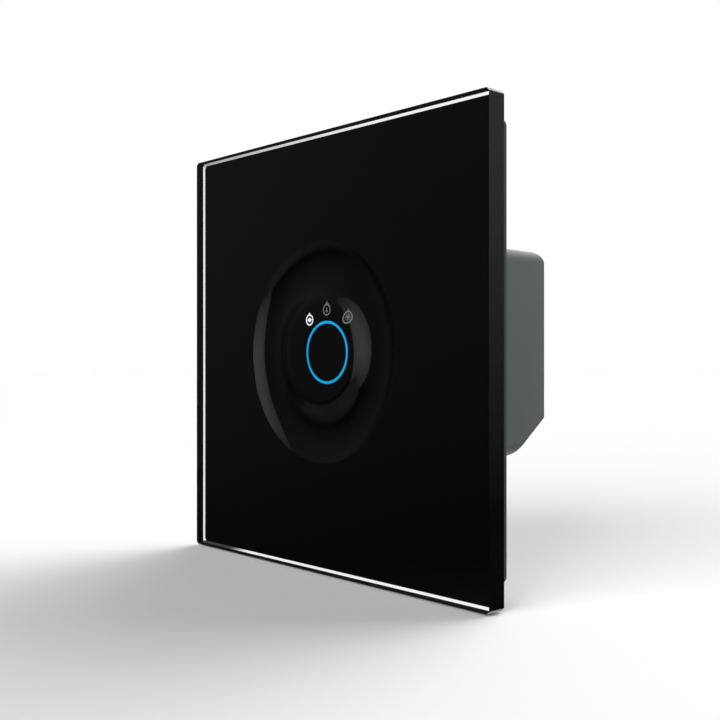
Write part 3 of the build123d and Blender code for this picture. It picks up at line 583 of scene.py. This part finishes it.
def moulded(name, colour, roughness, grain=0.14, depth=0.006, rounding=0.12, flow=0.05, gloss=0.5):
    """Moulded plastic: eroded grain of one size and depth in mm, softened edges and faint flow marks."""
    plastic, tree, shader, place = surface(name, Specular_IOR_Level=gloss)
    fine = noise(tree, place, grain, 3.0)
    marks = spread(tree, noise(tree, place, 14.0), 1 - flow, 1 + flow)
    tone = times(tree, marks, ramp(tree, fine, 0.25, 0.75, 0.94, 1.06))
    feed(
        shader,
        Base_Color=scaled(tree, colour, tone),
        Roughness=ramp(tree, fine, 0.25, 0.75, roughness + 0.05, roughness - 0.05),
        Normal=relief(tree, fine, depth, rounding),
    )
    return plastic


dress(moulded("dark_abs", frame_grey, 0.5, gloss=0.05), "panel_frame")


# Light block and light guides
# A white ABS moulding that keeps the light of the ring and of each sign apart. A clear acrylic ring
# and three clear pins are pressed into it, and carry the light of the lamps to the windows.
block_white = (0.8, 0.8, 0.78)
acrylic_tint = (0.95, 0.97, 0.98, 1)


def clear_acrylic():
    """Moulded clear acrylic with a slight haze."""
    acrylic, tree, shader, place = surface(
        "clear_acrylic", Base_Color=acrylic_tint, IOR=1.49, Transmission_Weight=1.0
    )
    feed(shader, Roughness=spread(tree, noise(tree, place, 0.5), 0.12, 0.3))
    return acrylic


dress(moulded("white_abs", block_white, 0.45, grain=0.2, depth=0.003), "light_block")
dress(clear_acrylic(), "ring_light_guide", "sign_light_guides")


# Touch board
# A thin circuit board, green solder mask over copper, heat staked into the carrier. Its front has
# eight gold-plated touch pads and small white lamps; its rear has one chip and a few chip resistors
# and capacitors.
touch_board_rear = -2.2
track_width = 0.3
track_height = 0.03
print_width = 0.16
print_height = 0.012
sharpest_bend = 0.35
weave_pitch = 0.5
weave_thread = (0.05 * mm, 0.2 * mm)
chip_x, chip_z, chip_outline = -9.5, -8.0, 6.0
plug_z, plug_length, plug_width = 8.0, 11.2, 6.1
pin_pitch = 2.54
parts_x, parts_pitch, parts_row = 4.0, 3.0, 2.2
parts_middle, parts_length, parts_width = 8.5, 12.2, 6.4
pad_gold = (0.83, 0.58, 0.27)
lacquer_green = (0.02, 0.15, 0.065)
track_green = (0.045, 0.27, 0.12)
print_white = (0.75, 0.75, 0.72)
lamp_white, lamp_yellow = (0.82, 0.8, 0.74), (0.85, 0.68, 0.16)
resistor_brown = (0.36, 0.25, 0.16)
solder = (0.75, 0.73, 0.68)
chip_black = (0.014, 0.014, 0.015)


def mixed(tree, mask, first, second):
    """Colour that goes from first to second as the mask goes from 0 to 1."""
    return add(tree, "Mix", {0: mask, 6: (*first, 1), 7: (*second, 1)}, data_type="RGBA").outputs[2]


def row_distance(tree, value, pitch, first):
    """Distance from the nearest of a row of places that are one pitch apart, in mm."""
    shifted = combine(tree, "SUBTRACT", value, first * mm)
    wrapped = combine(tree, "WRAP", shifted, pitch / 2 * mm, -pitch / 2 * mm)
    return combine(tree, "ABSOLUTE", wrapped)


def solder_mask(name, colour):
    """Green lacquer with glass weave just visible."""
    lacquer, tree, shader, place = surface(
        name, Specular_IOR_Level=0.5, Coat_Weight=0.3, Coat_Roughness=0.15
    )
    axes = add(tree, "SeparateXYZ", {"Vector": place}).outputs
    warp, weft = [row_distance(tree, axes[n], weave_pitch, 0.0) for n in "XZ"]
    weave = combine(tree, "ADD", ramp(tree, warp, *weave_thread), ramp(tree, weft, *weave_thread))
    cloud = noise(tree, place, 5.0)
    tone = times(tree, ramp(tree, weave, 0.0, 2.0, 0.94, 1.06), spread(tree, cloud, 0.9, 1.1))
    feed(
        shader,
        Base_Color=scaled(tree, colour, tone),
        Roughness=spread(tree, cloud, 0.3, 0.4),
        Normal=relief(tree, weave, 0.003),
    )
    return lacquer


def metal(name, colour, roughness, stretch=(1, 1, 1), size=0.15, depth=0.002, rounding=0.05):
    """Plated or rolled metal: fine marks drawn out one way, softened edges and recesses darkened by
    painted shade.
    """
    plating, tree, shader, place = surface(name, Metallic=1.0)
    drawn = add(tree, "Mapping", {"Vector": place, "Scale": stretch}).outputs[0]
    marks = noise(tree, drawn, size, 3.0)
    # painted shade: ambient occlusion darkens the colour in recesses and slots
    occlusion = add(tree, "AmbientOcclusion", {"Distance": 0.8 * mm}, samples=8).outputs["AO"]
    painted_recess_shade = ramp(tree, occlusion, 0.25, 0.8, 0.2, 1.0)
    tone = times(tree, spread(tree, noise(tree, place, 4.0), 0.9, 1.06), painted_recess_shade)
    feed(
        shader,
        Base_Color=scaled(tree, colour, tone),
        Roughness=ramp(tree, marks, 0.25, 0.75, roughness - 0.07, roughness + 0.1),
        Normal=relief(tree, marks, depth, rounding),
    )
    return plating


def end_capped(name, body, cap, pitch, first, cap_start, body_rough=0.5):
    """Small brick in a row along x, with tinned caps at its two ends."""
    brick, tree, shader, place = surface(name)
    axes = add(tree, "SeparateXYZ", {"Vector": place}).outputs
    capped = combine(tree, "GREATER_THAN", row_distance(tree, axes["X"], pitch, first), cap_start * mm)
    fine = noise(tree, place, 0.1)
    feed(
        shader,
        Base_Color=scaled(tree, mixed(tree, capped, body, cap), spread(tree, fine, 0.88, 1.1)),
        Metallic=capped,
        Roughness=pick(tree, capped, body_rough, 0.3),
        Normal=relief(tree, fine, 0.006),
    )
    return brick


def white_lamps():
    """Small lamp: white case, with a yellow phosphor face towards the glass."""
    lamp, tree, shader, place = surface("white_lamp", Roughness=0.35, Coat_Weight=0.4, Coat_Roughness=0.1)
    facing = add(tree, "NewGeometry").outputs["True Normal"]
    to_glass = combine(tree, "LESS_THAN", add(tree, "SeparateXYZ", {"Vector": facing}).outputs["Y"], -0.5)
    colour = mixed(tree, to_glass, lamp_white, lamp_yellow)
    feed(shader, Base_Color=scaled(tree, colour, spread(tree, noise(tree, place, 0.15), 0.9, 1.05)))
    return lamp


def board_print():
    """White screen print."""
    paint, tree, shader, place = surface("white_board_print", Roughness=0.6)
    feed(shader, Base_Color=scaled(tree, print_white, spread(tree, noise(tree, place, 0.1), 0.85, 1.1)))
    return paint


def flat_lines(name, runs, width, height, material):
    """Thin strips on the rear of the touch board, in mm: each run is a list of (x, z) points."""
    low, high = touch_board_rear, touch_board_rear + height
    bm = bmesh.new()
    for run in runs:
        closed = run[0] == run[-1]
        points = [Vector(point) for point in (run[:-1] if closed else run)]
        count = len(points)
        rows = []
        for n, point in enumerate(points):
            before, after = points[n - 1], points[(n + 1) % count]
            way_in = (point - before if closed or n > 0 else after - point).normalized()
            way_out = (after - point).normalized() if closed or n < count - 1 else way_in
            bend = way_in + way_out
            across = Vector((-bend.y, bend.x)).normalized()
            reach = width / 2 / max(across.dot(Vector((-way_in.y, way_in.x))), sharpest_bend)
            row = []
            for side, y in ((-1, low), (-1, high), (1, high), (1, low)):
                x, z = point + across * side * reach
                row.append(bm.verts.new((x * mm, y * mm, z * mm)))
            rows.append(row)
        for n in range(count if closed else count - 1):
            join(bm, rows[n], rows[(n + 1) % count])
        if not closed:
            bm.faces.new(rows[0])
            bm.faces.new(rows[-1])
    return made(name, bm, material)


def square_run(x, z, width, length):
    """Closed run round a rectangle about its middle."""
    right, top = width / 2, length / 2
    corners = [(-right, -top), (right, -top), (right, top), (-right, top), (-right, -top)]
    return [(x + dx, z + dz) for dx, dz in corners]


def touch_tracks():
    """Copper lines: chip to pads, plug to chip and lamps, and through the rows of small parts."""
    runs = []
    for n in range(8):
        lead, start, lane, bend = -12.3, -6.2 - 0.5 * n, 13.6 + 0.6 * n, 0.6 * n
        slanted = start + (lane + lead) * 0.5
        runs.append([(lead, start), (-lane, slanted), (-lane, 8.0 + bend), (-lane + 1.6, 9.6 + bend)])
    for n in range(4):
        pin, right, top = (n - 1.5) * pin_pitch, 19.0 - 0.7 * n, 17.5 + 0.7 * n
        runs.append([(pin, 5.2), (pin, 1.5 - 0.5 * n), (-7.4 - 0.5 * n, -5.0 + 0.2 * n)])
        runs.append([(pin, 10.8), (pin, top - 5.0), (pin + 5.0, top), (right, top), (right, -2.0)])
    for n in range(3):
        row = chip_z + parts_row * (n - 1)
        runs.append([(-6.8, row), (-2.0, row), (0.0, row * 0.75 - 2.0), (3.0, row)])
        for part in (parts_x, parts_x + parts_pitch, parts_x + 2 * parts_pitch):
            runs.append([(part + 0.8, row), (part + 2.2, row)])
        runs.append([(13.9, row), (15.5, row), (16.6, row - 1.1), (16.6, -14.0 - n)])
    return runs


def touch_outlines():
    """Printed outlines round the chip, the rows of small parts and the plug."""
    return [
        square_run(chip_x, chip_z, chip_outline, chip_outline),
        square_run(parts_middle, chip_z, parts_length, parts_width),
        square_run(0.0, plug_z, plug_length, plug_width),
    ]


lacquered = solder_mask("lacquer_over_tracks", track_green)
tracks = flat_lines("touch_board_tracks", touch_tracks(), track_width, track_height, lacquered)
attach(tracks, "panel")
printed = flat_lines("touch_board_print", touch_outlines(), print_width, print_height, board_print())
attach(printed, "panel")

dress(solder_mask("green_lacquer", lacquer_green), "touch_board")
dress(metal("gold_plated_pads", pad_gold, 0.3), "touch_pads")
dress(white_lamps(), "ring_leds", "sign_leds")
dress(moulded("black_epoxy", chip_black, 0.55, grain=0.06, depth=0.004, rounding=0.05), "touch_chip")
resistors = end_capped("chip_resistors", resistor_brown, solder, parts_pitch, parts_x, 0.55)
dress(resistors, "touch_board_passives")


# Plug between panel and base
# A black two-row pin header on the touch board and its socket on the power board, glass-filled
# nylon, with square gold-plated brass pins.
nylon_black = (0.014, 0.014, 0.014)
pin_gold = (0.86, 0.64, 0.27)

nylon = moulded("black_nylon", nylon_black, 0.48, grain=0.25, depth=0.004, rounding=0.08)
dress(nylon, "header_base", "header_socket")
dress(metal("gold_plated_pins", pin_gold, 0.2, stretch=(4, 0.4, 4)), "header_pins")


# Wall plate
# One sheet of 1 mm steel, stamped, bent and zinc plated. It is screwed to the wall box through its
# slots, and its two bent lugs carry the housing.
zinc_grey = (0.6, 0.615, 0.63)
zinc_crystal = 0.7


def zinc_sheet():
    """Zinc plating: small crystals, faint stains and the lines of the rolled sheet."""
    zinc, tree, shader, place = surface("zinc_plated_sheet", Metallic=1.0)
    rolled = add(tree, "Mapping", {"Vector": place, "Scale": (1.0, 1.0, 0.05)}).outputs[0]
    lines = noise(tree, rolled, 0.12, 3.0)
    crystals = add(tree, "SeparateXYZ", {"Vector": cells(tree, place, zinc_crystal)["Color"]}).outputs[0]
    stain = spread(tree, noise(tree, place, 9.0), 0.92, 1.04)
    tone = times(tree, ramp(tree, crystals, 0.0, 1.0, 0.96, 1.03), stain)
    roughness = ramp(tree, crystals, 0.0, 1.0, 0.36, 0.41)
    feed(
        shader,
        Base_Color=scaled(tree, zinc_grey, tone),
        Roughness=combine(tree, "ADD", roughness, spread(tree, lines, -0.05, 0.06)),
        Normal=relief(tree, lines, 0.0015, rounding=0.12),
    )
    return zinc


dress(zinc_sheet(), "mounting_plate")


# Housing and cover
# Two mid-grey ABS mouldings with a fine eroded texture. The housing holds the power board; the
# cover snaps into its mouth. Two zinc-plated screws through the plate's bent lugs hold the housing.
housing_grey = (0.112, 0.128, 0.131)
screw_zinc = (0.68, 0.69, 0.71)


def turned_screws(name, colour, roughness):
    """Zinc-plated screw with the fine rings of the forming die."""
    return metal(name, colour, roughness, stretch=(1, 6, 1), size=0.2, depth=0.0012, rounding=0.08)


grey_plastic = moulded("grey_abs", housing_grey, 0.42, grain=0.16, depth=0.008, rounding=0.2, flow=0.03)
dress(grey_plastic, "rear_housing", "front_cover")
dress(turned_screws("zinc_plated_screws", screw_zinc, 0.27), "housing_screws", "board_screws")


# Power board
# The circuit board that feeds the strip, green solder mask over copper. Four screws hold it on
# posts inside the housing.
dress(solder_mask("green_lacquer_power", (0.018, 0.13, 0.06)), "power_board")


# Terminal blocks
# Three green nylon blocks of two poles. In each pole a zinc-plated screw turns in the block and
# draws a nickel-plated cage up, which clamps the wire under a fixed tinned bar.
nylon_green = (0.028, 0.25, 0.11)
clamp_zinc = (0.66, 0.67, 0.69)
nickel = (0.68, 0.65, 0.6)
tin = (0.74, 0.73, 0.69)
blocks = range(1, 4)
poles = range(1, 7)

green_plastic = moulded("green_nylon", nylon_green, 0.4, grain=0.3, depth=0.004, rounding=0.12)
dress(green_plastic, *[f"terminal_block_{n}" for n in blocks])
dress(metal("tinned_copper", tin, 0.3, stretch=(3, 3, 0.5)), "terminal_bars", "transistor_tabs")
dress(metal("nickel_plate", nickel, 0.25), *[f"terminal_cage_{n}" for n in poles])
dress(turned_screws("clamp_screws", clamp_zinc, 0.3), *[f"terminal_screw_{n}" for n in poles])


# Power transistors
# Three flat black epoxy cases, one for each colour, moulded on tinned copper tabs that are soldered
# to the power board.
epoxy_black = (0.016, 0.016, 0.017)

epoxy = moulded("transistor_epoxy", epoxy_black, 0.5, grain=0.08, depth=0.005, rounding=0.08)
dress(epoxy, "power_transistors")


# Capacitor and coil
# An aluminium can in a shrunk black plastic sleeve with a light stripe on one side, and a coil
# moulded in pressed ferrite.
stripe_edge_x = -14.05
sleeve_black, stripe_grey = (0.016, 0.018, 0.045), (0.55, 0.56, 0.58)
can_silver = (0.8, 0.81, 0.82)
ferrite_grey = (0.06, 0.06, 0.065)


def shrunk_sleeve():
    """Thin glossy film with soft folds and a light stripe."""
    sleeve, tree, shader, place = surface(
        "shrunk_sleeve", Roughness=0.3, Coat_Weight=0.5, Coat_Roughness=0.12
    )
    axes = add(tree, "SeparateXYZ", {"Vector": place}).outputs
    stripe = combine(tree, "LESS_THAN", axes["X"], stripe_edge_x * mm)
    folds = noise(tree, place, 1.2)
    colour = scaled(tree, mixed(tree, stripe, sleeve_black, stripe_grey), spread(tree, folds, 0.9, 1.1))
    feed(shader, Base_Color=colour, Normal=relief(tree, folds, 0.01))
    return sleeve


dress(metal("drawn_aluminium", can_silver, 0.3, stretch=(1, 5, 1)), "input_capacitor")
dress(shrunk_sleeve(), "capacitor_sleeve")
ferrite = moulded("pressed_ferrite", ferrite_grey, 0.62, grain=0.1, depth=0.012, rounding=0.1, flow=0.1)
dress(ferrite, "storage_coil")


# Chips, fuse, diode and small parts of the power board
# Two black epoxy chips with tinned gull-wing leads, a white ceramic fuse, a black diode with light
# ends and a few chip resistors and capacitors, all soldered to the rear of the board.
chip_middles = (5.02, 11.92)
chip_half_width = 1.96
case_black = (0.015, 0.015, 0.016)
fuse_white = (0.78, 0.78, 0.74)
band_grey = (0.6, 0.6, 0.6)
parts_brown = (0.4, 0.3, 0.2)
alone = 40.0


def leaded_epoxy(name, middles, half_width):
    """Black epoxy between two rows of tinned leads, told apart by how far they lie from a middle."""
    chip, tree, shader, place = surface(name)
    axes = add(tree, "SeparateXYZ", {"Vector": place}).outputs
    first, second = [
        combine(tree, "ABSOLUTE", combine(tree, "SUBTRACT", axes["X"], middle * mm)) for middle in middles
    ]
    lead = combine(tree, "GREATER_THAN", combine(tree, "MINIMUM", first, second), half_width * mm)
    fine = noise(tree, place, 0.07)
    feed(
        shader,
        Base_Color=scaled(tree, mixed(tree, lead, case_black, tin), spread(tree, fine, 0.88, 1.1)),
        Metallic=lead,
        Roughness=pick(tree, lead, 0.55, 0.28),
        Normal=relief(tree, fine, 0.004),
    )
    return chip


# the fuse and the diode are rows of one, so their pitch is wider than the board
dress(leaded_epoxy("leaded_chips", chip_middles, chip_half_width), "driver_chip", "regulator_chip")
ceramic = end_capped("ceramic_fuse", fuse_white, tin, alone, -7.0, 2.1, body_rough=0.35)
dress(ceramic, "input_fuse")
dress(end_capped("banded_diode", case_black, band_grey, alone, -1.2, 1.85), "reverse_diode")
small_parts = end_capped("power_chip_parts", parts_brown, solder, parts_pitch, 3.25, 0.55)
dress(small_parts, "power_board_passives")
